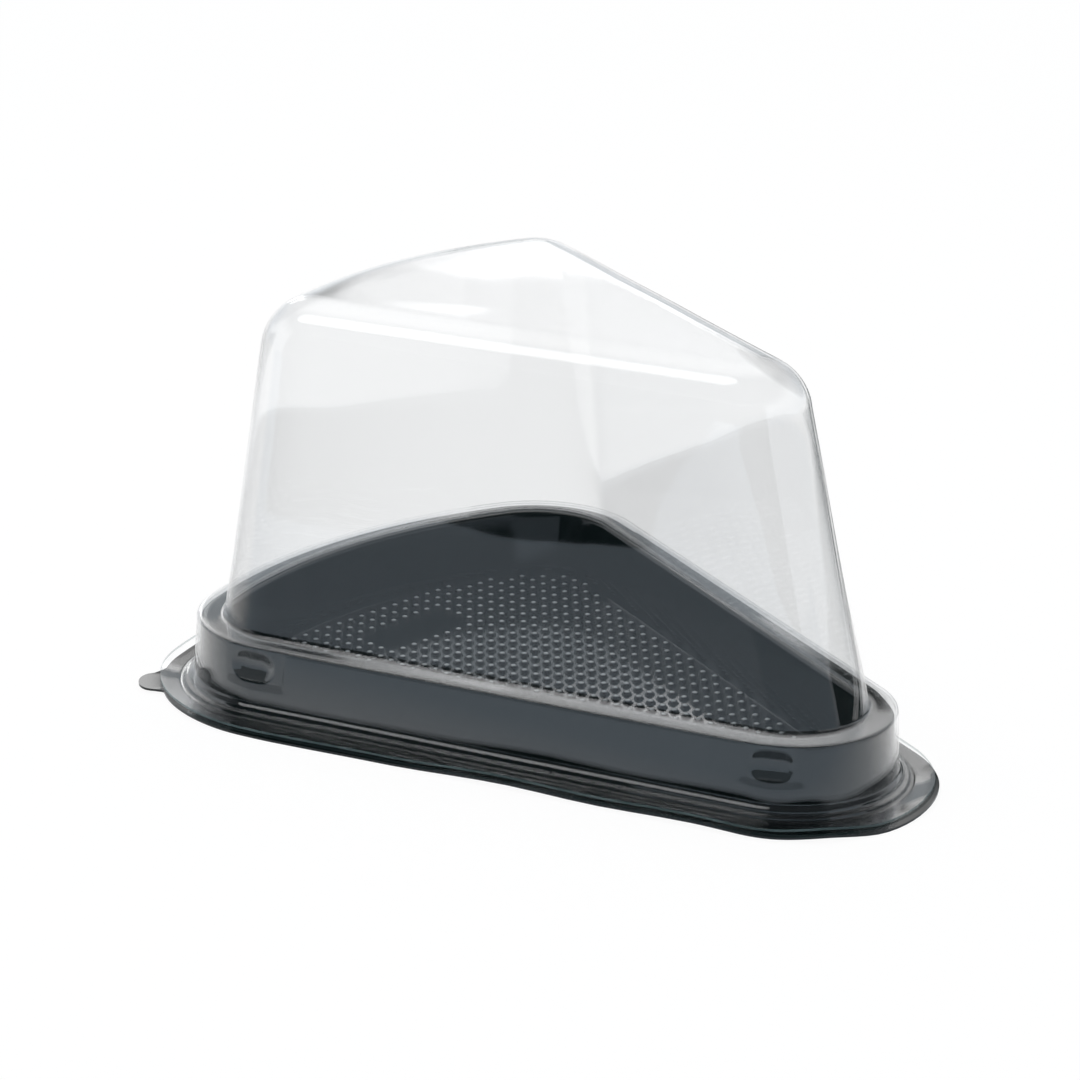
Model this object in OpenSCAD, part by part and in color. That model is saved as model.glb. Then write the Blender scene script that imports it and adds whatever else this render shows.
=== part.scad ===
// Wedge pack for one slice of cake: a black tray and a clear domed lid that drops over its rim.
// Each is formed from one thin sheet. The tip of the slice points along +X, and the pack
// stands on its flange. Every outline is one rounded wedge, grown or shrunk by an offset
// that is counted outward from the outer edge of the lid's shoulder.

/* [Wedge outline] */
// Angle between the two straight sides
slice_angle = 38.6; // [34:0.2:44]
// Length from the point where the straight sides would meet to the middle of the crust side
slice_l = 197.7; // [180:0.1:215]
// Radius of the curved crust side
crust_r = 117; // [105:1:150]
// Corner radius at the tip
tip_r = 21; // [19:0.5:25]
// Corner radius at both ends of the crust side
heel_r = 22.5; // [20:0.5:26]

/* [Sheets] */
// Thickness of the tray's sheet
tray_t = 0.5; // [0.4:0.05:0.6]
// Thickness of the lid's sheet
lid_t = 0.5; // [0.4:0.05:0.6]
// Clearance between the tray's outer wall and the lid's skirt
skirt_gap = 0.35; // [0.25:0.05:0.5]
// Clearance between the two flanges, one lying on the other
flange_gap = 0.05; // [0.02:0.01:0.1]

/* [Lid skirt] */
// Height of the lid's flat shoulder above the table
shoulder_z = 16; // [14:0.5:20]
// Width of the shoulder between the skirt and the dome
shoulder_w = 5; // [4:0.5:7]
// Rounding between the shoulder and the skirt
shoulder_r = 1; // [0.8:0.1:1.4]
// How far the skirt leans outward from the shoulder to its foot
skirt_lean = 0.7; // [0.4:0.1:1.2]
// Height of one of the two small steps at the skirt's foot
step_h = 0.85; // [0.6:0.05:1.1]
// Tread of one of these steps
step_w = 1.3; // [1:0.1:1.6]
// Overall reach of the lid's flange beyond the shoulder's edge
lid_flange = 9; // [7:0.5:12]

/* [Dome] */
// Height of the closed pack
pack_h = 85.5; // [70:0.5:110]
// How far the dome walls lean inward from their foot to the top
dome_lean = 8.4; // [6:0.2:11]
// Radius of the rounded edge round the flat top
dome_edge_r = 12; // [8:0.5:13]
// Corner radius of the dome walls under the top edge, at the tip
dome_tip_r = 14; // [13.5:0.5:18]
// Corner radius of the dome walls under the top edge, at the heels
dome_heel_r = 13.5; // [13.5:0.5:18]
// Rounding between the dome walls and the shoulder
dome_foot_r = 1.2; // [0.8:0.1:1.6]

/* [Tray] */
// Reach of the tray's flange beyond the shoulder's edge
tray_flange = 9; // [7.5:0.5:11]
// How far the trimmed edge of the tray's flange lies off centre towards the tip
trim_x = 2.2; // [0:0.1:2.5]
// How far it lies off centre towards the front
trim_y = 1.4; // [0:0.1:1.5]
// Gap between the top of the tray's rim and the lid's shoulder above it
rim_gap = 0.3; // [0.2:0.05:0.5]
// Width of the tray's flat rim, with its two rounded edges
rim_w = 5.6; // [5:0.2:7]
// Rounding of the rim's two edges
rim_r = 0.8; // [0.7:0.1:1]
// How far the inner wall leans inward from the rim to the floor
wall_lean = 2.8; // [2:0.2:4]
// Height of the upper face of the floor above the table
floor_z = 1; // [0.8:0.1:2]
// Length of the pull tab beyond the flange at the front heel
tab_l = 5; // [3:0.5:7]
// Width of the pull tab
tab_w = 9; // [7:0.5:11]

/* [Bumps] */
// Spacing of the bumps on the floor, both ways
bump_pitch = 3.4; // [3.2:0.1:5]
// Diameter of a bump at the floor
bump_d = 2; // [1.4:0.1:2.4]
// Height of a bump
bump_h = 0.7; // [0.4:0.05:0.9]
// Margin between the outermost bumps and the inner wall
bump_margin = 1.2; // [1:0.1:3]
// Length of the bare panel near the crust, along X
panel_l = 12; // [8:1:16]
// Width of the bare panel, along Y
panel_w = 22; // [14:1:30]
// Distance of the bare panel's middle from the middle of the crust side
panel_x = 26.5; // [20:0.5:40]

/* [Snaps] */
// Length of the mouth of one of the lid's pressed-in snap dimples
dimple_l = 10.5; // [8:0.5:11]
// Height of a dimple's mouth
dimple_h = 6.4; // [5:0.2:6.6]
// Depth of a dimple from the skirt's outer face
dimple_in = 1.2; // [0.9:0.1:1.4]
// Drop of a dimple's middle below the shoulder
dimple_drop = 4.5; // [4.2:0.1:5.5]
// Clearance between a dimple and the face of the tray's pocket behind it
pocket_gap = 0.4; // [0.3:0.05:0.6]
// Length of a pocket
pocket_l = 15; // [14:0.5:17]
// Depth of a pocket's foot below the shoulder
pocket_drop = 9.5; // [9:0.1:10.5]
// How far round the tip corner a dimple sits, in degrees from the straight side
tip_turn = 12.5; // [5:0.5:30]
// How far round the heel corner a dimple sits, in degrees from the straight side
heel_turn = 1.5; // [0:0.5:20]

/* [Hidden] */
$fn = 64;

half = slice_angle / 2;
// Direction along the front side towards the tip, and from that side into the pack
side_u = [cos(half), sin(half)];
side_n = [-sin(half), cos(half)];
// Angle of the front side's outward direction
side_a = half - 90;

// The origin is the middle of the closed pack's box: the lid's crust end to the tray's tip end
tip_reach = tip_r / sin(half) - tip_r;
apex_x = (slice_l + tip_reach + lid_flange - tray_flange - trim_x) / 2;
mid_y = max(0, trim_y + tray_flange - lid_flange) / 2;
crust_c = [apex_x - slice_l + crust_r, 0];

// Heights and offsets that the fits share
lid_flange_z = tray_t + flange_gap + lid_t;
skirt_x = shoulder_r;
foot_z = lid_flange_z + 2 * step_h + 0.6;
skirt_foot_x = skirt_x + skirt_lean;
rim_z = shoulder_z - lid_t - rim_gap;
rim_x = skirt_x - lid_t - skirt_gap;
tray_foot_x = skirt_foot_x - lid_t - skirt_gap;
rim_in_x = rim_x - rim_w;
floor_x = rim_in_x - wall_lean;
dome_foot_x = -shoulder_w;
dome_foot_z = shoulder_z + dome_foot_r;
// Lean of the dome walls, and the middle of the round top edge with the wall's end below it
lean = atan(dome_lean / (pack_h - dome_foot_z));
edge_foot_z = pack_h - dome_edge_r * (1 - sin(lean));
edge_foot_x = dome_foot_x - (edge_foot_z - dome_foot_z) * tan(lean);
edge_c = [edge_foot_x - dome_edge_r * cos(lean), pack_h - dome_edge_r];
// A dimple is part of a lying pill, whose round side dips through the skirt
dimple_z = shoulder_z - dimple_drop;
dimple_r = (pow(dimple_h / 2, 2) + pow(dimple_in, 2)) / (2 * dimple_in);
dimple_x = skirt_x + skirt_lean * (dimple_drop - shoulder_r) / (shoulder_z - shoulder_r - foot_z) - dimple_in;
pocket_x = dimple_x - lid_t - pocket_gap;

// Apex of the straight sides, corner centres and the crust's end, for a given offset and radius
function apex(off) = [apex_x + off / sin(half), 0];
function tip_c(off, r) = apex(off) - [r / sin(half), 0];
function heel_c(off, r) =
    let (p = apex(off) + r * side_n, q = p - crust_c, b = q * side_u)
    p - (b + sqrt(b * b - q * q + pow(crust_r + off - r, 2))) * side_u;
function crust_a(off, r) =
    let (v = heel_c(off, r) - crust_c) 180 + atan(v[1] / v[0]);

function arc(c, r, from, to, steps) =
    [for (i = [0 : steps]) let (a = from + (to - from) * i / steps) c + r * [cos(a), sin(a)]];

// The whole outline as points, with corner radii of its own
function ring(off, r_tip, r_heel) =
    let (heel = heel_c(off, r_heel), a = crust_a(off, r_heel), b = 360 - 2 * a)
    concat(arc(tip_c(off, r_tip), r_tip, side_a, -side_a, 18),
           arc([heel[0], -heel[1]], r_heel, -side_a, 360 - a, 12),
           arc(crust_c, crust_r + off, 360 - a - b / 12, a + b / 12, 10),
           arc(heel, r_heel, a, 360 + side_a, 12));

// True where a point lies inside the outline at this offset
function inside(p, off) =
    let (q = [p[0], -abs(p[1])], t = tip_c(0, tip_r), k = heel_c(0, heel_r))
    (q - apex(off)) * side_n > 0 && norm(q - crust_c) < crust_r + off
    && (q[0] < t[0] || norm(q - t) < tip_r + off)
    && (q[1] > k[1] || q[0] > k[0] || norm(q - k) < heel_r + off);

// A path of [offset, height] points, thickened to its right by t with mitred bends
function turn(v) = [v[1], -v[0]] / norm(v);
function thicken(path, t) =
    let (n = len(path) - 1,
         normals = [for (i = [0 : n - 1]) turn(path[i + 1] - path[i])],
         bend = [for (i = [0 : n])
                 let (a = normals[max(0, i - 1)], b = normals[min(n - 1, i)]) (a + b) / (1 + a * b)])
    concat(path, [for (i = [n : -1 : 0]) path[i] + t * bend[i]]);

// How much the corners of the dome outgrow an even offset at this height
function spread(z, r, foot_r) =
    (r - foot_r - edge_foot_x) * min(1, max(0, (z - dome_foot_z) / (edge_foot_z - dome_foot_z)));

// Sheet that follows a path of [offset, height] points round the wedge. The path starts at a
// flat face, which closes the sheet there, and ends at the trimmed edge, moved off centre by trim.
module sheet(path, t, trim = [0, 0]) {
    section = thicken(path, t);
    last = len(path) - 1;
    rings = [for (i = [0 : 2 * last + 1])
        let (off = section[i][0], z = section[i][1], move = i == last || i == last + 1 ? trim : [0, 0])
        [for (p = ring(off, tip_r + off + spread(z, dome_tip_r, tip_r),
                       heel_r + off + spread(z, dome_heel_r, heel_r)))
            [p[0] + move[0], p[1] + move[1], z]]];
    n = len(rings[0]);
    m = len(rings);
    polyhedron([for (r = rings) each r], concat(
        [[for (i = [n - 1 : -1 : 0]) i], [for (i = [0 : n - 1]) (m - 1) * n + i]],
        [for (k = [0 : m - 2], i = [0 : n - 1], side = [0, 1])
            let (a = k * n, b = a + n, j = (i + 1) % n)
            side == 0 ? [a + i, a + j, b + j] : [a + i, b + j, b + i]]));
}

// Places a feature near the tip and the heel ends of both straight sides, with X outward and
// $r as the corner's radius
module at_snaps() for (flip = [0, 1]) mirror([0, flip, 0]) {
    translate(tip_c(0, tip_r)) rotate([0, 0, side_a + tip_turn]) {
        $r = tip_r;
        children();
    }
    translate(heel_c(0, heel_r)) rotate([0, 0, side_a - heel_turn]) {
        $r = heel_r;
        children();
    }
}

// The lying pill of a dimple, grown by this much on every side
module pill(grow) hull() for (s = [-1, 1])
    translate([$r + dimple_x + dimple_r, s * (dimple_l - dimple_h) / 2, dimple_z])
        sphere(dimple_r + grow, $fn = 48);

// The block of a pocket in the tray's outer wall, grown by this much on every closed side
module pocket(grow, top) {
    low = shoulder_z - pocket_drop - grow;
    translate([$r + pocket_x - grow, -pocket_l / 2 - grow, low])
        cube([pocket_l / 2, pocket_l + 2 * grow, top - low]);
}

// The tray's upper face: floor, inner wall, rim, outer wall and flange
tray_path = concat(
    [[floor_x - 0.4, floor_z], [floor_x + 0.2, floor_z + 0.5]],
    arc([rim_in_x + rim_r, rim_z - rim_r], rim_r, 170, 90, 3),
    arc([rim_x - rim_r, rim_z - rim_r], rim_r, 90, 5, 3),
    [[tray_foot_x, tray_t + 0.8], [tray_foot_x + 0.5, tray_t], [tray_flange - 3, tray_t],
     [tray_flange, tray_t]]);

// The lid's upper face: top edge, dome wall, shoulder, skirt, two small steps and flange
lid_path = concat(
    arc(edge_c, dome_edge_r, 90, lean, 8),
    arc([dome_foot_x + dome_foot_r, dome_foot_z], dome_foot_r, 180 + lean, 270, 3),
    arc([0, shoulder_z - shoulder_r], shoulder_r, 90, 5, 4),
    [[skirt_foot_x, foot_z],
     [skirt_foot_x + step_w * 0.75, lid_flange_z + 2 * step_h],
     [skirt_foot_x + step_w, lid_flange_z + 1.15 * step_h],
     [skirt_foot_x + step_w * 1.75, lid_flange_z + step_h],
     [skirt_foot_x + step_w * 2, lid_flange_z + 0.2 * step_h],
     [skirt_foot_x + step_w * 2.4, lid_flange_z],
     [lid_flange, lid_flange_z]]);

module dome_lid() color([0.86, 0.89, 0.91, 0.35]) difference() {
    union() {
        sheet(lid_path, lid_t);
        at_snaps() intersection() {
            pill(lid_t);
            cylinder(r = $r + skirt_x - lid_t / 2, h = shoulder_z - lid_t);
        }
    }
    at_snaps() pill(0);
}

// The grid of bumps, or with hollow set the recesses under them that leave one even thickness
module bumps(hollow) {
    slope = atan(bump_d / 4 / bump_h);
    shrink = hollow ? 2 * tray_t * (1 / cos(slope) - tan(slope)) : 0;
    low = hollow ? floor_z - tray_t : floor_z;
    sink = tray_t / 2;
    n = ceil(slice_l / bump_pitch);
    edge = floor_x - bump_margin;
    panel_mid = apex_x - slice_l + panel_x;
    for (i = [-n : n], j = [-n : n]) {
        p = [(i + 0.5) * bump_pitch, j * bump_pitch];
        on_panel = abs(p[0] - panel_mid) < panel_l / 2 && abs(p[1]) < panel_w / 2;
        if (inside(p, edge) && !on_panel)
            translate([p[0], p[1], low - sink])
                cylinder(d1 = bump_d - shrink + 2 * sink * tan(slope), d2 = bump_d / 2 - shrink,
                         h = bump_h + sink, $fn = 24);
    }
}

module base_tray() color([0.07, 0.08, 0.09]) difference() {
    union() {
        sheet(tray_path, tray_t, [trim_x, -trim_y]);
        bumps(false);
        pull_tab();
        at_snaps() intersection() {
            pocket(tray_t, rim_z - tray_t / 2);
            cylinder(r1 = $r + tray_foot_x - tray_t / 2, r2 = $r + rim_x - tray_t, h = rim_z);
        }
    }
    bumps(true);
    at_snaps() pocket(0, rim_z + 1);
}

// Rounded tab on the tray's flange at the front heel
module pull_tab() {
    reach = heel_r + tray_flange + tab_l;
    translate(heel_c(0, heel_r)) rotate([0, 0, side_a - 62]) linear_extrude(tray_t) {
        translate([heel_r + 5, -tab_w / 2]) square([reach - heel_r - 5 - tab_w / 2, tab_w]);
        translate([reach - tab_w / 2, 0]) circle(d = tab_w);
    }
}

translate([0, mid_y, 0]) {
    base_tray();
    dome_lid();
}
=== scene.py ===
import math

import bmesh
import bpy
from mathutils import Matrix, Vector, geometry, noise


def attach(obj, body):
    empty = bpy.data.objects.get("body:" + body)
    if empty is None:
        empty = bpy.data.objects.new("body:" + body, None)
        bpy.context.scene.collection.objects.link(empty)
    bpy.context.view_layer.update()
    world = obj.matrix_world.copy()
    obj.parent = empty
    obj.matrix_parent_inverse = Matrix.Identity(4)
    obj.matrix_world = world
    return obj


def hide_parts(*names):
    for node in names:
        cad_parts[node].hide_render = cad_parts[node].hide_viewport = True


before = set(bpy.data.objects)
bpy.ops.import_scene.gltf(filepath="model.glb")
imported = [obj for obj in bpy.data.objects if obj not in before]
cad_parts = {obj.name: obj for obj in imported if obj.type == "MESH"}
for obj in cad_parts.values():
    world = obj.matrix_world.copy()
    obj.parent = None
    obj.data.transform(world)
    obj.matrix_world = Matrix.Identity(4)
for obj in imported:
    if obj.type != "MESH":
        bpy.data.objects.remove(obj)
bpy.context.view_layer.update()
MM = 0.001

# Sizes in mm, the solids' own but for the bumps, which are larger, and the flange, which ends a hair
# inside theirs. Offsets count outward from the lid's shoulder edge.
HALF = math.radians(38.6 / 2)
SLICE_L, CRUST_R, TIP_R, HEEL_R = 197.7, 117.0, 21.0, 22.5
TRAY_T, LID_T = 0.5, 0.5
LID_FLANGE_Z, FLANGE = 1.05, 8.96
SHOULDER_Z, SHOULDER_R, SHOULDER_W = 16.0, 1.0, 5.0
SKIRT_FOOT_X, FOOT_Z, STEP_H, STEP_W = 1.7, 3.35, 0.85, 1.3
PACK_H, DOME_LEAN, EDGE_R, FOOT_R = 85.5, 8.4, 12.0, 1.2
DOME_TIP_R, DOME_HEEL_R = 14.0, 13.5
TRIM = (2.2, -1.4)
RIM_Z, RIM_X, RIM_IN_X, RIM_R = 15.2, 0.15, -5.45, 0.8
TRAY_FOOT_X, FLOOR_X, FLOOR_Z = 0.85, -8.25, 1.0
TAB_L, TAB_W, TAB_TURN = 5.0, 9.0, math.radians(62)
PITCH, BUMP_R, BUMP_H, BUMP_MARGIN = 3.4, 1.16, 0.85, 1.2
PANEL_L, PANEL_W, PANEL_X = 12.0, 22.0, 26.5
DIMPLE_L, DIMPLE_H, DIMPLE_IN, DIMPLE_Z = 10.5, 6.4, 1.2, 11.5
POCKET_L, POCKET_Z, POCKET_X = 15.0, 6.5, -0.89
TIP_TURN, HEEL_TURN = math.radians(12.5), math.radians(1.5)

# The front side: along it, square to it inward, and the angle of the way outward
SIDE_U = (math.cos(HALF), math.sin(HALF))
SIDE_N = (-math.sin(HALF), math.cos(HALF))
SIDE_A = HALF - math.pi / 2
# Where the lines of the sides meet, and the y of the pack's own axis
APEX_X = 119.02
MID_Y = 0.7
CRUST_X = APEX_X - SLICE_L + CRUST_R
LEAN = math.atan(DOME_LEAN / (PACK_H - SHOULDER_Z - FOOT_R))
EDGE_FOOT_Z = PACK_H - EDGE_R * (1 - math.sin(LEAN))
EDGE_FOOT_X = -SHOULDER_W - (EDGE_FOOT_Z - SHOULDER_Z - FOOT_R) * math.tan(LEAN)
DIMPLE_R = ((DIMPLE_H / 2) ** 2 + DIMPLE_IN ** 2) / (2 * DIMPLE_IN)
DIMPLE_X = 0.01
# The real roundings at the shoulder's two edges look tighter than the solids' ones
FOOT_ROUND, KNEE_ROUND = 0.75, 0.7
# The steps at the skirt's foot: where each begins, in step widths, and how far its riser runs out
STEP_ONE, STEP_TWO, RISER = 0.75, 1.72, 0.1

# Where the flanges bow up, as (place, height). The place counts along the front side and on round the
# tip, from 0 where the lines of the sides meet, and is negative towards the heel
BOWS = ((-225, 0.5), (-204, 1.0), (-190, 0.75), (-162, 0.0), (-137, 0.2), (-110, 1.03), (-90, 0.52),
        (-70, 0.95), (-53, 0.48), (-40, 0.93), (-26, 0.02), (-6, 0.7), (20, 0.25))
# They bow from this offset outward
BOW_FROM = 4.9
TIP_TANGENT = -TIP_R / math.tan(HALF)
TIP_EDGE_R = 32.0

# Looks of the two sheets
SHEET_IOR = 1.5
BLACK_TONES = ((0.35, (0.0025, 0.0055, 0.0055)), (0.7, (0.0045, 0.0085, 0.0085)))
BLACK_ROUGH = (0.06, 0.11)
# The painted highlight, pale colour on the tops of the floor's bumps: its colour, heights in mm between
# which it sets in, height that it stays under, and how level a face is where it sets in
GLINT_GREY, GLINT_HEIGHTS, GLINT_UNDER, GLINT_LEVEL = (0.40, 0.43, 0.44), (1.6, 1.82), 3, (0.6, 0.85)
CLEAR_TINTS = ((0.45, (0.992, 0.994, 0.995)), (0.68, (0.962, 0.965, 0.968)),
               (1.0, (0.955, 0.96, 0.965)))
HAZE = 0.008
EDGE_TONES = ((0.35, (0.22, 0.33, 0.33)), (0.7, (0.5, 0.66, 0.66)))
EDGE_LIT = 0.35

# The studio, in metres and degrees. Cards and panels stand round the pack
GROUND_R, GROUND_SIDES = 6.0, 96
FLOOR_GREY, CARD_GREY, CARD_DARK = (0.51, 0.59, 0.67), (0.44, 0.52, 0.595), (0.04, 0.055, 0.058)
CARD_AT, CARD_R, CARD_FOOT, CARD_TOP = (0.05, -0.02), 0.4, 0.0005, 0.38
FRONT_FOOT, GREY_R, GREY_TOP = 0.09, 0.41, 0.095
LOW_AT, LOW_R, LOW_TOP = (0.05, 0.0), 0.24, 0.05
MAT_R, MAT_Z = (0.135, 0.2), 0.0008
# The panels behind: radius, half of the width they are graded over, middle, half of their span
PANEL_R, PANEL_HALF, PANEL_AZ, PANEL_HALF_AZ = 0.4, 0.15, 133.85, 23
TAB_FROM_AZ, TAB_TO_AZ, TAB_FOOT = 18.5, 25, 0.1
DIM_FOOT, RING_FOOT, TOP_FOOT, PANEL_TOP = 0.132, 0.1635, 0.192, 0.27
STRIP_DIM = (0.52, 0.56, 0.59)
# How bright the panels are across, from the camera's left to its right: (share of the way, level)
RING_POWER, TOP_POWER = 3.8, 1.15
RING_LEVELS = ((0.0, 0.9), (0.05, 0.8), (0.1, 0.27), (0.19, 0.0), (0.23, 0.0), (0.27, 0.2), (0.35, 0.33),
               (0.44, 0.46), (0.63, 0.62), (0.73, 0.36), (0.8, 0.0), (0.83, 0.0), (0.87, 0.2), (0.92, 0.25),
               (1.0, 0.3))
TOP_LEVELS = ((0.0, 0.72), (0.3, 0.78), (0.5, 0.95), (0.8, 1.0), (1.0, 0.8))
SKY_TONES = ((0.30, (0.66, 0.70, 0.74)), (0.46, (0.74, 0.76, 0.79)), (0.66, (0.10, 0.11, 0.12)))
# Towards the middle of the soft glow high behind the pack, with the cosines between which it sets in
GLOW_FROM, GLOW_EDGE = (-0.51, 0.53, 0.68), (0.74, 0.92)
# Along the floor to the front of the pack
FLOOR_AHEAD = (0.5, -0.866, 0)
# The lamp: its place, what it shines at, the way of its long side, its size and its power in W
LAMP_AT, LAMP_TO, LAMP_ALONG = (-0.28, -0.2, 0.9), (0, 0, 0.05), (0.944, 0.33, 0)
LAMP_SIZE, LAMP_POWER = (0.6, 0.3), 1.0
# The camera: its place, the way to its right and to its back, its turn about its own axis, its lens
VIEW_AT = (0.4933, -0.52835, 0.2972)
VIEW_RIGHT, VIEW_BACK = (0.7213, 0.6927, 0), (0.6516, -0.6784, 0.3396)
VIEW_ROLL, VIEW_LENS = math.radians(1.0), 122.65


def tip_centre(off, r):
    """Centre of the tip's corner circle."""
    return APEX_X + (off - r) / math.sin(HALF), 0.0


def heel_centre(off, r):
    """Centre of the front heel's corner circle."""
    px = APEX_X + off / math.sin(HALF) + r * SIDE_N[0]
    py = r * SIDE_N[1]
    qx = px - CRUST_X
    b = qx * SIDE_U[0] + py * SIDE_U[1]
    back = b + math.sqrt(b * b - qx * qx - py * py + (CRUST_R + off - r) ** 2)
    return px - back * SIDE_U[0], py - back * SIDE_U[1]


def steps(*spans):
    """Numbers from span to span: (start, end, count), with each start and without the last end."""
    return [a + (b - a) * i / n for a, b, n in spans for i in range(n)]


def stations(tab):
    """Where the columns of a sheet stand round the outline, closer together at the snaps and the tab."""
    tip_turns = steps((0, 37, 30), (37, 104.4, 14), (104.4, 141.4, 30))
    tip = [("tip", SIDE_A + math.radians(a)) for a in tip_turns]
    side = steps((0, 0.085, 18), (0.085, 0.915, 14), (0.915, 1, 18))
    heel = steps((0, 0.3, 22), (0.3, 1, 14))
    front = steps((0, 0.3, 22), (0.3, 0.57, 6), (0.57, 0.85, 26), (0.85, 1, 4)) if tab else heel
    crust = steps((0, 1, 22))
    return (tip + [("side", f, 1) for f in side] + [("heel", f, 1) for f in heel]
            + [("crust", f) for f in crust]
            + [("heel", 1 - f, -1) for f in [0] + [1 - g for g in front[:0:-1]]]
            + [("side", f, -1) for f in [1] + [g for g in side[:0:-1]]])


def outline(off, r_tip, r_heel, cols):
    """The rounded wedge at this offset as points, with their outward directions."""
    tx, _ = tip_centre(off, r_tip)
    hx, hy = heel_centre(off, r_heel)
    end = math.atan2(hy, hx - CRUST_X) + (math.pi if hx > CRUST_X else 2 * math.pi)
    start = 2 * math.pi + SIDE_A
    out = []
    for col in cols:
        if col[0] == "tip":
            a = col[1]
            out.append((tx + r_tip * math.cos(a), r_tip * math.sin(a), math.cos(a), math.sin(a)))
        elif col[0] == "side":
            _, f, s = col
            nx, ny = math.cos(SIDE_A), math.sin(SIDE_A)
            x = (tx + r_tip * nx) * (1 - f) + (hx + r_heel * nx) * f
            y = r_tip * ny * (1 - f) + (hy + r_heel * ny) * f
            out.append((x, -y if s > 0 else y, nx, -ny if s > 0 else ny))
        elif col[0] == "heel":
            _, f, s = col
            a = start + (end - start) * f
            x, y = hx + r_heel * math.cos(a), hy + r_heel * math.sin(a)
            out.append((x, -y if s > 0 else y, math.cos(a), -math.sin(a) if s > 0 else math.sin(a)))
        else:
            a = (2 * math.pi - end) * (1 - col[1]) + end * col[1]
            out.append((CRUST_X + (CRUST_R + off) * math.cos(a), (CRUST_R + off) * math.sin(a),
                        math.cos(a), math.sin(a)))
    return out


def snap_places():
    """Corner centre, outward direction and corner radius of the four snaps."""
    tx, ty = tip_centre(0, TIP_R)
    hx, hy = heel_centre(0, HEEL_R)
    for s in (1, -1):
        for cx, cy, a, r in ((tx, ty, SIDE_A + TIP_TURN, TIP_R), (hx, hy, SIDE_A - HEEL_TURN, HEEL_R)):
            yield cx, cy * s, math.cos(a), math.sin(a) * s, r


SNAPS = list(snap_places())


def smooth(x):
    """0 below 0 and 1 above 1, with an even rise between."""
    x = min(1.0, max(0.0, x))
    return x * x * (3 - 2 * x)


def soft_min(a, b, k):
    """The smaller number, rounded over where the two are within k."""
    h = max(k - abs(a - b), 0) / k
    return min(a, b) - h * h * k / 4


def press(x, y, z, limit, k):
    """Moves a point inward to where a snap's surface lies, with a small rounding k."""
    for cx, cy, ex, ey, r in SNAPS:
        u = (x - cx) * ex + (y - cy) * ey
        v = (y - cy) * ex - (x - cx) * ey
        if abs(v) < 10 and u > r - 6:
            to = soft_min(u, limit(r, v, z), k) - u
            if to < -1e-5:
                return x + to * ex, y + to * ey
    return x, y


def dimple(grow):
    """How far out the lid's skirt may stand at a snap: a pill pressed in with a ball's curve."""
    def limit(r, v, z):
        rho = max(abs(v) - (DIMPLE_L - DIMPLE_H) / 2, 0) ** 2 + (z - DIMPLE_Z) ** 2
        reach = (DIMPLE_R + grow) ** 2 - rho
        return r + DIMPLE_X + DIMPLE_R - math.sqrt(reach) if reach > 0 else 1e3
    return limit


def pocket(grow):
    """How far out the tray's wall may stand at a snap: a flat pocket, open upward."""
    def limit(r, v, z):
        deep = min(POCKET_L / 2 + grow - abs(v), z - POCKET_Z + grow)
        return r + POCKET_X - grow + 2.5 * max(0, 0.8 - deep) if deep > -0.5 else 1e3
    return limit


def bend(off):
    """Share of the bow at this offset: none at the steps, all of it at the edge."""
    return min(1.0, max(0.0, (off - BOW_FROM) / (FLANGE - BOW_FROM)))


def wave(x, y):
    """How far the thin flanges bow up from flat, in mm."""
    loose = max(0.0, 0.25 + 0.5 * noise.noise(Vector((x * 0.028, y * 0.028, 3.7))))
    turn = math.atan2(y, x - tip_centre(0, TIP_R)[0]) - SIDE_A
    if turn > 0:
        at, keep = TIP_TANGENT + turn * TIP_EDGE_R, 1 - smooth((turn - 1.9) / 0.5)
    else:
        at, keep = (x - APEX_X) * SIDE_U[0] + y * SIDE_U[1], smooth((-y - 4) / 16)
    for (a, lift_a), (b, lift_b) in zip(BOWS, BOWS[1:]):
        if a <= at < b:
            bow = lift_a + (lift_b - lift_a) * smooth((at - a) / (b - a))
            return bow * keep + loose * (1 - keep)
    return loose


def arc(cx, cz, r, start, end, n):
    """Points on a circle from one angle to another, both included."""
    return [(cx + r * math.cos(math.radians(start + (end - start) * i / n)),
             cz + r * math.sin(math.radians(start + (end - start) * i / n))) for i in range(n + 1)]


def line(a, b, n):
    """Points between a and b, without either."""
    return [(a[0] + (b[0] - a[0]) * i / n, a[1] + (b[1] - a[1]) * i / n) for i in range(1, n)]


def rounded(points, times=2):
    """An open path with its corners cut, ends kept."""
    for _ in range(times):
        out = [points[0]]
        for a, b in zip(points, points[1:]):
            out.append((a[0] * 0.78 + b[0] * 0.22, a[1] * 0.78 + b[1] * 0.22))
            out.append((a[0] * 0.22 + b[0] * 0.78, a[1] * 0.22 + b[1] * 0.78))
        points = out + [points[-1]]
    return points


def thick(path, t):
    """The path's other face, at a distance t to its right."""
    turns = []
    for a, b in zip(path, path[1:]):
        d = math.hypot(b[0] - a[0], b[1] - a[1])
        turns.append(((b[1] - a[1]) / d, -(b[0] - a[0]) / d))
    out = []
    for i, p in enumerate(path):
        a, b = turns[max(0, i - 1)], turns[min(len(turns) - 1, i)]
        k = t / (1 + a[0] * b[0] + a[1] * b[1])
        out.append((p[0] + k * (a[0] + b[0]), p[1] + k * (a[1] + b[1])))
    return out


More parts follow.
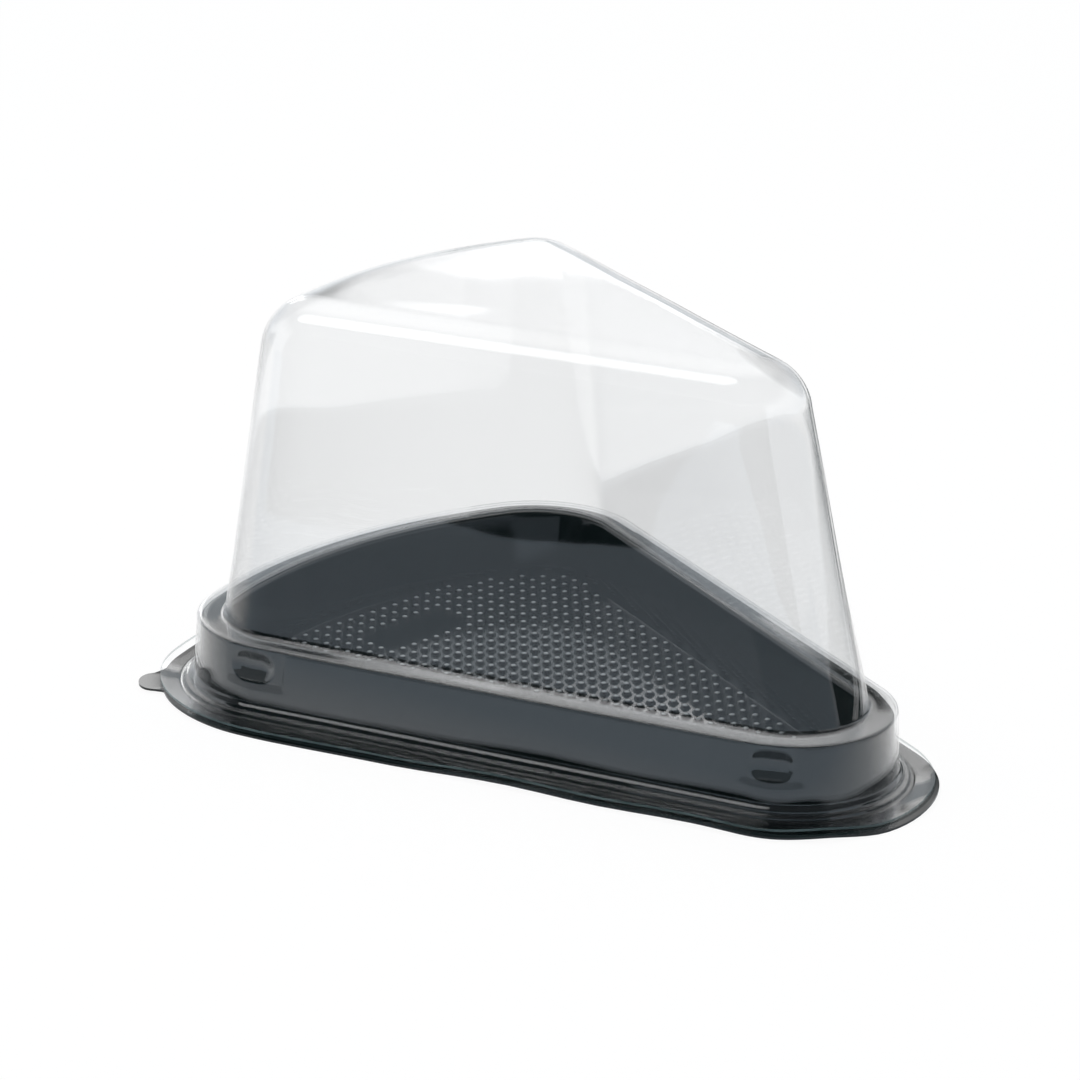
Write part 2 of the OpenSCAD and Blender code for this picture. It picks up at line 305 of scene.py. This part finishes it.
def lid_path():
    """The lid's upper face in section, from the top's edge out to the flange's."""
    lean = math.degrees(LEAN)
    edge = arc(EDGE_FOOT_X - EDGE_R * math.cos(LEAN), PACK_H - EDGE_R, EDGE_R, 90, lean, 18)
    foot = arc(-SHOULDER_W + FOOT_ROUND, SHOULDER_Z + FOOT_ROUND, FOOT_ROUND, 180 + lean, 270, 6)
    knee = arc(-KNEE_ROUND + SHOULDER_R, SHOULDER_Z - KNEE_ROUND, KNEE_ROUND, 90, 5, 8)
    x, z = SKIRT_FOOT_X, LID_FLANGE_Z
    one, two = x + STEP_W * STEP_ONE, x + STEP_W * STEP_TWO
    steps_out = rounded([(x - 0.03, FOOT_Z + 0.5), (x, FOOT_Z), (one, z + 2 * STEP_H),
                         (one + RISER, z + 1.12 * STEP_H), (two, z + STEP_H), (two + RISER, z + 0.1),
                         (two + 0.5, z), (two + 1.4, z)])
    waist = (x - 0.24, 7.2)
    skirt = line(knee[-1], waist, 25) + line(waist, steps_out[0], 6)
    wall = line(edge[-1], foot[0], 14)
    return (edge + wall + foot + line(foot[-1], knee[0], 4) + knee + skirt + steps_out
            + line(steps_out[-1], (FLANGE, z), 4) + [(FLANGE, z)])


def tray_path():
    """The tray's upper face in section, from the floor's edge out to the flange's."""
    inner = rounded([(FLOOR_X - 0.4, FLOOR_Z), (FLOOR_X - 0.02, FLOOR_Z), (FLOOR_X + 0.1, FLOOR_Z + 0.35),
                     (FLOOR_X + 0.2, FLOOR_Z + 1.8)], 1)
    rim_in = arc(RIM_IN_X + RIM_R, RIM_Z - RIM_R, RIM_R, 170, 90, 6)
    rim_out = arc(RIM_X - RIM_R, RIM_Z - RIM_R, RIM_R, 90, 5, 6)
    foot = rounded([(TRAY_FOOT_X - 0.06, TRAY_T + 1.8), (TRAY_FOOT_X, TRAY_T + 0.7),
                    (TRAY_FOOT_X + 0.5, TRAY_T), (TRAY_FOOT_X + 1.5, TRAY_T)])
    return (inner + line(inner[-1], rim_in[0], 8) + rim_in + line(rim_in[-1], rim_out[0], 3) + rim_out
            + line(rim_out[-1], foot[0], 16) + foot + line(foot[-1], (FLANGE - 3, TRAY_T), 3)
            + [(FLANGE - off, TRAY_T) for off in (3, 1.5, 1.25, 1.05, 0)])


def spread(z, r, foot_r):
    """What a corner's radius gains or loses at this height, to come to r where the top's edge begins."""
    foot_z = SHOULDER_Z + FOOT_R
    return (r - foot_r - EDGE_FOOT_X) * min(1, max(0, (z - foot_z) / (EDGE_FOOT_Z - foot_z)))


def tab_reach(x, y):
    """How far the pull tab carries the tray's edge outward here."""
    hx, hy = heel_centre(0, HEEL_R)
    dx, dy = x - hx, y - hy
    turn = math.atan2(dy, dx) - (SIDE_A - TAB_TURN)
    turn = (turn + math.pi) % (2 * math.pi) - math.pi
    side = abs(turn) * (HEEL_R + FLANGE + 2)
    flat = TAB_L - TAB_W / 2 + 1.2
    if side < TAB_W / 2:
        return flat + (TAB_L - flat) * math.sqrt(1 - (side / (TAB_W / 2)) ** 2)
    return flat * (1 - smooth((side - TAB_W / 2) / 2.2))


def sheet_rows(path, t, cols, place):
    """Rings of points for both faces of a sheet: the upper face outward, then the lower one back."""
    rows = []
    for face, section in ((0, path), (1, thick(path, t)[::-1])):
        for off, z in section:
            pts = outline(off, TIP_R + off + spread(z, DOME_TIP_R, TIP_R),
                          HEEL_R + off + spread(z, DOME_HEEL_R, HEEL_R), cols)
            rows.append([place(p[0], p[1], z, off, face, p[2], p[3]) for p in pts])
    return rows


def place_lid(x, y, z, off, face, nx, ny):
    """A point of the lid with what the plain outline lacks: uneven walls, dimples and bowed flange."""
    if z > SHOULDER_Z + 2:
        # the formed walls and the top aren't quite even
        k = smooth((z - SHOULDER_Z - 2) / 12)
        n = noise.noise(Vector((x * 0.035, y * 0.035, z * 0.03)))
        sink = 0.35 * k * (n - 0.6)
        up = smooth((z - PACK_H + 4) / 4)
        return x + nx * sink * (1 - up), y + ny * sink * (1 - up), z + min(0, sink) * up * 0.5
    if 6 < z < SHOULDER_Z - 0.2:
        x, y = press(x, y, z, dimple(LID_T * face), 0.12)
    if off > 5:
        out = bend(off)
        z += (wave(x, y) + 0.4 * smooth((APEX_X - SLICE_L + 45 - x) / 40)) * out
    return x, y, z


def place_tray(x, y, z, off, face, nx, ny):
    """A point of the tray with its pockets, bowed flange, trim and tab."""
    if z > POCKET_Z - 2 and off > RIM_IN_X + 2:
        x, y = press(x, y, z, pocket(TRAY_T * face), 0.3)
    if off > 1.5:
        bow = wave(x, y)
        z += bow * bend(off)
        move = smooth((off - FLANGE + 3) / 3)
        x, y = x + TRIM[0] * move, y + TRIM[1] * move
        if off > FLANGE - 1.3:
            out = tab_reach(x - TRIM[0], y - TRIM[1])
            # the tab goes on level where the flange beside it bows up
            z -= bow * (bend(off) - bend(FLANGE - 1.5)) * min(1, out / 2)
            if off > FLANGE - 1:
                x, y = x + nx * out, y + ny * out
    return x, y, z


def link_rows(faces, rows, first, n):
    """Faces between closed rings of n points, which follow on each other from the point first."""
    for k in range(rows - 1):
        for i in range(n):
            a, b = first + k * n + i, first + k * n + (i + 1) % n
            faces.append((a, b, b + n, a + n))


def make(name, points, faces, body, node, edge=(0, 0)):
    """A closed smooth mesh in metres that stands for a node and moves with its body.

    The faces numbered in edge get the object's second material.
    """
    mesh = bpy.data.meshes.new(name)
    mesh.from_pydata([(x * MM, (y + MID_Y) * MM, z * MM) for x, y, z in points], [], faces)
    for i in range(*edge):
        mesh.polygons[i].material_index = 1
    bm = bmesh.new()
    bm.from_mesh(mesh)
    bmesh.ops.remove_doubles(bm, verts=bm.verts, dist=2e-6)
    bmesh.ops.recalc_face_normals(bm, faces=bm.faces)
    bm.to_mesh(mesh)
    bm.free()
    mesh.polygons.foreach_set("use_smooth", [True] * len(mesh.polygons))
    mesh.set_sharp_from_angle(angle=math.radians(50))
    obj = bpy.data.objects.new(name, mesh)
    bpy.context.scene.collection.objects.link(obj)
    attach(obj, body)
    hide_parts(node)
    return obj


def make_lid():
    """The clear lid: both faces of its walls, and the top closed by rings that shrink and sag."""
    cols = stations(False)
    n = len(cols)
    rows = sheet_rows(lid_path(), LID_T, cols, place_lid)
    points = [p for r in rows for p in r]
    faces = []
    link_rows(faces, len(rows), 0, n)
    mid_x, sag = APEX_X - SLICE_L * 0.62, 0.15
    for ring in (0, len(rows) - 1):
        last = ring * n
        mean = sum(p[2] for p in rows[ring]) / n
        for k in (0.93, 0.84, 0.74, 0.63, 0.52, 0.41, 0.3, 0.2, 0.11, 0.04):
            first = len(points)
            for x, y, z in rows[ring]:
                height = mean + (z - mean) * k ** 3 - sag * (1 - k * k)
                points.append((mid_x + (x - mid_x) * k, y * k, height))
            faces += [(last + i, last + (i + 1) % n, first + (i + 1) % n, first + i) for i in range(n)]
            last = first
        points.append((mid_x, 0.0, mean - sag))
        faces += [(last + i, last + (i + 1) % n, len(points) - 1) for i in range(n)]
    cut = (len(lid_path()) - 1) * n
    return make("clear_dome_lid", points, faces, "lid", "dome_lid", (cut, cut + n))


def inside(x, y, off):
    """Whether a place lies within the outline at this offset."""
    y = -abs(y)
    tx, _ = tip_centre(0, TIP_R)
    hx, hy = heel_centre(0, HEEL_R)
    ax = APEX_X + off / math.sin(HALF)
    return ((x - ax) * SIDE_N[0] + y * SIDE_N[1] > 0 and math.hypot(x - CRUST_X, y) < CRUST_R + off
            and (x < tx or math.hypot(x - tx, y) < TIP_R + off)
            and (y > hy or x > hx or math.hypot(x - hx, y - hy) < HEEL_R + off))


def bump_places():
    """Centres of the floor's bumps: a square grid without the bare panel."""
    n = math.ceil(SLICE_L / PITCH)
    mid = APEX_X - SLICE_L + PANEL_X
    for i in range(-n, n + 1):
        for j in range(-n, n + 1):
            x, y = (i + 0.5) * PITCH, j * PITCH
            bare = abs(x - mid) < PANEL_L / 2 and abs(y) < PANEL_W / 2
            if inside(x, y, FLOOR_X - BUMP_MARGIN) and not bare:
                yield x, y


def floor_face(loop, z0, rings, height):
    """A triangulated floor inside a loop, raised at the bumps by rings of (radius, share, points)."""
    flat = [Vector((x, y)) for x, y, _ in loop]
    high = [z0] * len(flat)
    border = [(i, (i + 1) % len(flat)) for i in range(len(flat))]
    for bx, by in bump_places():
        turn = 0.37 * (bx + 1.7 * by)
        flat.append(Vector((bx, by)))
        high.append(z0 + height)
        for r, share, count in rings:
            for i in range(count):
                a = turn + 2 * math.pi * i / count
                flat.append(Vector((bx + r * math.cos(a), by + r * math.sin(a))))
                high.append(z0 + height * share)
    pts, _, tris, origin, _, _ = geometry.delaunay_2d_cdt(flat, border, [], 1, 1e-5)
    out = [(p.x, p.y, high[o[0]] if o else z0) for p, o in zip(pts, origin)]
    return out, [tuple(t) for t in tris]


def make_tray():
    """The black tray: both faces of its walls, and both faces of its bumped floor."""
    cols = stations(True)
    n = len(cols)
    rows = sheet_rows(tray_path(), TRAY_T, cols, place_tray)
    points = [p for r in rows for p in r]
    faces = []
    link_rows(faces, len(rows), 0, n)
    upper = [(0.3, 0.96, 8), (0.58, 0.83, 12), (0.84, 0.58, 14), (1.04, 0.24, 14), (BUMP_R, 0.0, 14)]
    lower = [(0.3, 0.9, 6), (0.65, 0.4, 8), (0.95, 0.0, 8)]
    for ring, rings in ((0, upper), (len(rows) - 1, lower)):
        pts, tris = floor_face(rows[ring], rows[ring][0][2], rings, BUMP_H)
        first = len(points)
        points += pts
        faces += [tuple(first + i for i in t) for t in tris]
    return make("black_tray", points, faces, "tray", "base_tray")


def nodes_of(name):
    """A new material and its node tree, emptied."""
    mat = bpy.data.materials.new(name)
    mat.use_nodes = True
    mat.node_tree.nodes.clear()
    return mat, mat.node_tree


def add(tree, kind, *placed, mode=None, **named):
    """A new node, whose inputs get a value each, or a link where a socket is given.

    Inputs go by place or by name, with an underscore for a space. The mode is the operation of
    a Math node and the data type of a Mix node.
    """
    node = tree.nodes.new(kind)
    if mode:
        setattr(node, "data_type" if kind == "ShaderNodeMix" else "operation", mode)
    for key, value in [*enumerate(placed), *named.items()]:
        target = node.inputs[key if isinstance(key, int) else key.replace("_", " ")]
        if isinstance(value, bpy.types.NodeSocket):
            tree.links.new(value, target)
        else:
            target.default_value = value
    return node


def ramp(tree, value, stops, ease=False):
    """The colour a ramp gives for a value, from stops of (place, colour) in their order."""
    node = add(tree, "ShaderNodeValToRGB", value)
    if ease:
        node.color_ramp.interpolation = "EASE"
    elements = node.color_ramp.elements
    for place, _ in stops[1:-1]:
        elements.new(place)
    for element, (place, colour) in zip(elements, stops):
        element.position, element.color = place, (*colour, 1)
    return node.outputs["Color"]


def ranged(tree, value, low, high, to_low=0.0, to_high=1.0):
    """A value's place between low and high, carried over to another range."""
    node = add(tree, "ShaderNodeMapRange", Value=value, From_Min=low, From_Max=high,
               To_Min=to_low, To_Max=to_high)
    return node.outputs["Result"]


def times(tree, a, b):
    """Two values multiplied."""
    return add(tree, "ShaderNodeMath", a, b, mode="MULTIPLY").outputs["Value"]


def dot(tree, vector, direction):
    """How far a vector reaches in a direction."""
    return add(tree, "ShaderNodeVectorMath", vector, direction, mode="DOT_PRODUCT").outputs["Value"]


def painted(tree, factor, under, colour):
    """The colour under, with another over it by a factor."""
    node = add(tree, "ShaderNodeMix", mode="RGBA", Factor=factor, A=under, B=(*colour, 1))
    return node.outputs["Result"]


def mixed(tree, factor, a, b):
    """Shader a where the factor is 0, and shader b where it is 1."""
    return add(tree, "ShaderNodeMixShader", factor, a, b).outputs["Shader"]


def noise_of(tree, vector, scale, detail):
    """A noise pattern, its scale counted in 1/m."""
    return add(tree, "ShaderNodeTexNoise", Vector=vector, Scale=scale, Detail=detail).outputs["Fac"]


def height_of(tree, vector):
    """A vector's Z."""
    return add(tree, "ShaderNodeSeparateXYZ", Vector=vector).outputs["Z"]


def black_material():
    """Glossy black with a faint mottle and grain, and a painted highlight of pale grey on the bumps' tops.
    """
    mat, tree = nodes_of("black_sheet")
    where = add(tree, "ShaderNodeTexCoord").outputs["Object"]
    mottle = noise_of(tree, where, 55.0, 4.0)
    tone = ramp(tree, mottle, BLACK_TONES)
    # the painted highlight goes where a face lies high on a bump, but under the walls and the rim, and
    # looks up
    height = height_of(tree, where)
    top = ranged(tree, height, GLINT_HEIGHTS[0] * MM, GLINT_HEIGHTS[1] * MM)
    low = add(tree, "ShaderNodeMath", height, GLINT_UNDER * MM, mode="LESS_THAN").outputs["Value"]
    face = add(tree, "ShaderNodeNewGeometry").outputs["Normal"]
    level = ranged(tree, height_of(tree, face), *GLINT_LEVEL)
    glint_mask = times(tree, times(tree, top, low), level)
    grain = noise_of(tree, where, 420.0, 2.0)
    bump = add(tree, "ShaderNodeBump", Strength=0.02, Distance=0.0002, Height=grain)
    # the base colour carries the painted highlight, pale grey on the bumps' tops
    shader = add(tree, "ShaderNodeBsdfPrincipled", IOR=SHEET_IOR,
                 Base_Color=painted(tree, glint_mask, tone, GLINT_GREY),
                 Roughness=ranged(tree, mottle, 0.0, 1.0, *BLACK_ROUGH), Normal=bump.outputs["Normal"])
    add(tree, "ShaderNodeOutputMaterial", Surface=shader.outputs["BSDF"])
    return mat


def clear_material():
    """Clear and slightly tinted where seen at a slant, with a Fresnel reflection and a trace of haze."""
    mat, tree = nodes_of("clear_sheet")
    where = add(tree, "ShaderNodeTexCoord").outputs["Object"]
    slant = add(tree, "ShaderNodeLayerWeight", Blend=0.5).outputs["Facing"]
    through = add(tree, "ShaderNodeBsdfTransparent", Color=ramp(tree, slant, CLEAR_TINTS))
    # the shoulder, skirt and flange are formed more evenly than the dome
    calm = ranged(tree, height_of(tree, where), (SHOULDER_Z + 0.5) * MM, (SHOULDER_Z + 8) * MM, 0.25)
    relief = times(tree, noise_of(tree, where, 38.0, 3.0), calm)
    bump = add(tree, "ShaderNodeBump", Strength=0.03, Distance=0.0008, Height=relief).outputs["Normal"]
    gloss = add(tree, "ShaderNodeBsdfGlossy", Color=(1, 1, 1, 1), Roughness=0.03, Normal=bump)
    # the same reflection on both faces of the sheet
    side = add(tree, "ShaderNodeNewGeometry").outputs["Backfacing"]
    ior = ranged(tree, side, 0.0, 1.0, SHEET_IOR, 1 / SHEET_IOR)
    fresnel = add(tree, "ShaderNodeFresnel", IOR=ior, Normal=bump).outputs["Fac"]
    sheet = mixed(tree, fresnel, through.outputs["BSDF"], gloss.outputs["BSDF"])
    # fine scuffs and dust scatter a little light
    drawn = add(tree, "ShaderNodeMapping", Vector=where, Scale=(1.0, 1.0, 0.12), Rotation=(0.3, 0.5, 0.2))
    dust = add(tree, "ShaderNodeTexNoise", Vector=drawn.outputs["Vector"], Scale=260.0, Detail=6.0,
               Roughness=0.7)
    share = ranged(tree, dust.outputs["Fac"], 0.6, 0.8, 0.0, HAZE)
    haze = add(tree, "ShaderNodeBsdfDiffuse", Color=(0.9, 0.92, 0.93, 1))
    surface = mixed(tree, share, sheet, haze.outputs["BSDF"])
    add(tree, "ShaderNodeOutputMaterial", Surface=surface)
    return mat


def edge_material():
    """The lid's cut edge, where light that ran through the sheet comes out."""
    mat, tree = nodes_of("clear_cut_edge")
    where = add(tree, "ShaderNodeTexCoord").outputs["Object"]
    through = add(tree, "ShaderNodeBsdfTransparent", Color=(0.9, 0.93, 0.93, 1))
    tone = ramp(tree, noise_of(tree, where, 90.0, 3.0), EDGE_TONES)
    lit = add(tree, "ShaderNodeBsdfDiffuse", Color=tone)
    surface = mixed(tree, EDGE_LIT, through.outputs["BSDF"], lit.outputs["BSDF"])
    add(tree, "ShaderNodeOutputMaterial", Surface=surface)
    return mat


def floor_material():
    """Evenly pale to the camera, and in reflections a cool grey in front of the pack."""
    mat, tree = nodes_of("pale_floor")
    lit = add(tree, "ShaderNodeBsdfDiffuse", Color=(0.1, 0.1, 0.1, 1))
    glow = add(tree, "ShaderNodeEmission", Strength=0.94)
    seen = add(tree, "ShaderNodeAddShader", lit.outputs["BSDF"], glow.outputs["Emission"])
    where = add(tree, "ShaderNodeTexCoord").outputs["Object"]
    fade = ranged(tree, dot(tree, where, FLOOR_AHEAD), 0.01, 0.07)
    shade = ramp(tree, fade, ((0.0, (1.0, 1.0, 1.0)), (1.0, FLOOR_GREY)))
    mirrored = add(tree, "ShaderNodeEmission", Color=shade, Strength=1.0)
    rays = add(tree, "ShaderNodeLightPath").outputs["Is Camera Ray"]
    surface = mixed(tree, rays, mirrored.outputs["Emission"], seen.outputs["Shader"])
    add(tree, "ShaderNodeOutputMaterial", Surface=surface)
    return mat


def plain_material(name, kind, colour):
    """One shader with one colour."""
    mat, tree = nodes_of(name)
    shader = add(tree, kind, Color=(*colour, 1))
    add(tree, "ShaderNodeOutputMaterial", Surface=shader.outputs[0])
    return mat


def panel_material(name, strength, levels):
    """A lit panel graded across by (place, level)."""
    mat, tree = nodes_of(name)
    where = add(tree, "ShaderNodeTexCoord").outputs["Object"]
    across = ranged(tree, dot(tree, where, VIEW_RIGHT), -PANEL_HALF, PANEL_HALF)
    grade = ramp(tree, across, [(place, (level,) * 3) for place, level in levels], ease=True)
    glow = add(tree, "ShaderNodeEmission", Color=grade, Strength=strength)
    add(tree, "ShaderNodeOutputMaterial", Surface=glow.outputs["Emission"])
    return mat


def stage_object(name, points, faces, mat):
    """A mesh that belongs to the studio alone."""
    mesh = bpy.data.meshes.new(name)
    mesh.from_pydata(points, [], faces)
    obj = bpy.data.objects.new(name, mesh)
    bpy.context.scene.collection.objects.link(obj)
    mesh.materials.append(mat)
    return obj


def card(name, mat, centre, radii, azimuths, heights, count=48):
    """A curved strip that only reflections show, upright or flat, between two radii and two heights."""
    points = []
    for i in range(count + 1):
        a = math.radians(azimuths[0] + (azimuths[1] - azimuths[0]) * i / count)
        for r, z in zip(radii, heights):
            points.append((centre[0] + r * math.cos(a), centre[1] + r * math.sin(a), z))
    faces = [(2 * i, 2 * i + 1, 2 * i + 3, 2 * i + 2) for i in range(count)]
    obj = stage_object(name, points, faces, mat)
    obj.visible_camera = False
    obj.visible_shadow = False
    obj.visible_diffuse = False


def make_stage():
    """The floor, and the cards and panels that the pack mirrors."""
    turns = [2 * math.pi * i / GROUND_SIDES for i in range(GROUND_SIDES)]
    ground = [(GROUND_R * math.cos(a), GROUND_R * math.sin(a), 0) for a in turns]
    stage_object("floor", ground, [tuple(range(GROUND_SIDES))], floor_material())
    # dark cards stand round the camera's side, out of its sight, as in a studio
    dark = plain_material("dark_card", "ShaderNodeBsdfDiffuse", CARD_DARK)
    card("left_card", dark, CARD_AT, (CARD_R, CARD_R), (-135, -93), (CARD_FOOT, CARD_TOP))
    card("front_card", dark, CARD_AT, (CARD_R, CARD_R), (-93, -5), (FRONT_FOOT, CARD_TOP))
    # low down in front a grey one, and on the right a black one for the foot of the dome's tip
    grey = plain_material("grey_card", "ShaderNodeEmission", CARD_GREY)
    card("grey_card", grey, CARD_AT, (GREY_R, GREY_R), (-94, 24), (CARD_FOOT, GREY_TOP))
    card("low_card", dark, LOW_AT, (LOW_R, LOW_R), (24, 150), (CARD_FOOT, LOW_TOP))
    # the dome's tip also mirrors a dark mat on the table there
    card("dark_mat", dark, (0, 0), MAT_R, (12, 140), (MAT_Z, MAT_Z), 32)
    # the panel behind, which the ring and the flanges mirror, is graded across
    at = (PANEL_R, PANEL_R)
    left, right, tab = PANEL_AZ + PANEL_HALF_AZ, PANEL_AZ - PANEL_HALF_AZ, PANEL_AZ + TAB_FROM_AZ
    ring = panel_material("back_panel", RING_POWER, RING_LEVELS)
    card("back_panel", ring, (0, 0), at, (right, left), (RING_FOOT, TOP_FOOT))
    card("tab_panel", ring, (0, 0), at, (tab, PANEL_AZ + TAB_TO_AZ), (TAB_FOOT, RING_FOOT))
    # the dome's top mirrors the even panel above it, the tray's floor a dim strip below it
    even = panel_material("top_panel", TOP_POWER, TOP_LEVELS)
    card("top_panel", even, (0, 0), at, (right, left), (TOP_FOOT, PANEL_TOP))
    dim = plain_material("dim_strip", "ShaderNodeEmission", STRIP_DIM)
    card("dim_strip", dim, (0, 0), at, (right, tab), (DIM_FOOT, RING_FOOT))


def soft_light(name, place, target, along, size, power):
    """An oval lamp with its long side in the direction along."""
    data = bpy.data.lights.new(name, "AREA")
    data.shape = "ELLIPSE"
    data.size, data.size_y = size
    data.energy = power
    obj = bpy.data.objects.new(name, data)
    bpy.context.scene.collection.objects.link(obj)
    back = (Vector(place) - Vector(target)).normalized()
    side = (Vector(along) - Vector(along).dot(back) * back).normalized()
    turn = Matrix((side, back.cross(side), back)).transposed().to_4x4()
    obj.matrix_world = Matrix.Translation(place) @ turn


def make_world():
    """Soft light from all sides with a glow high behind the pack, and a plain backdrop for the camera."""
    world = bpy.data.worlds.new("studio")
    bpy.context.scene.world = world
    world.use_nodes = True
    tree = world.node_tree
    tree.nodes.clear()
    way = add(tree, "ShaderNodeTexCoord").outputs["Generated"]
    sides = ramp(tree, height_of(tree, way), SKY_TONES)
    near = ranged(tree, dot(tree, way, GLOW_FROM), *GLOW_EDGE)
    colour = painted(tree, near, sides, (1.0, 1.0, 1.0))
    sky = add(tree, "ShaderNodeBackground", Color=colour, Strength=1.15)
    seen = add(tree, "ShaderNodeBackground", Strength=0.98)
    rays = add(tree, "ShaderNodeLightPath").outputs["Is Camera Ray"]
    surface = mixed(tree, rays, sky.outputs["Background"], seen.outputs["Background"])
    add(tree, "ShaderNodeOutputWorld", Surface=surface)


def make_camera():
    """The photo's view: a long lens that looks at the pack's tip and its tab's side from above."""
    data = bpy.data.cameras.new("camera")
    data.lens = VIEW_LENS
    data.sensor_width = 36
    data.clip_start, data.clip_end = 0.01, 50
    cam = bpy.data.objects.new("camera", data)
    bpy.context.scene.collection.objects.link(cam)
    right, back = Vector(VIEW_RIGHT).normalized(), Vector(VIEW_BACK).normalized()
    up = back.cross(right)
    r = math.cos(VIEW_ROLL) * right + math.sin(VIEW_ROLL) * up
    u = -math.sin(VIEW_ROLL) * right + math.cos(VIEW_ROLL) * up
    cam.matrix_world = Matrix.Translation(VIEW_AT) @ Matrix((r, u, back)).transposed().to_4x4()
    bpy.context.scene.camera = cam


lid = make_lid()
lid.data.materials.append(clear_material())
lid.data.materials.append(edge_material())
tray = make_tray()
tray.data.materials.append(black_material())
make_stage()
make_world()
soft_light("overhead", LAMP_AT, LAMP_TO, LAMP_ALONG, LAMP_SIZE, LAMP_POWER)
make_camera()
scene = bpy.context.scene
scene.view_settings.view_transform = "Standard"
scene.cycles.transparent_max_bounces = 40
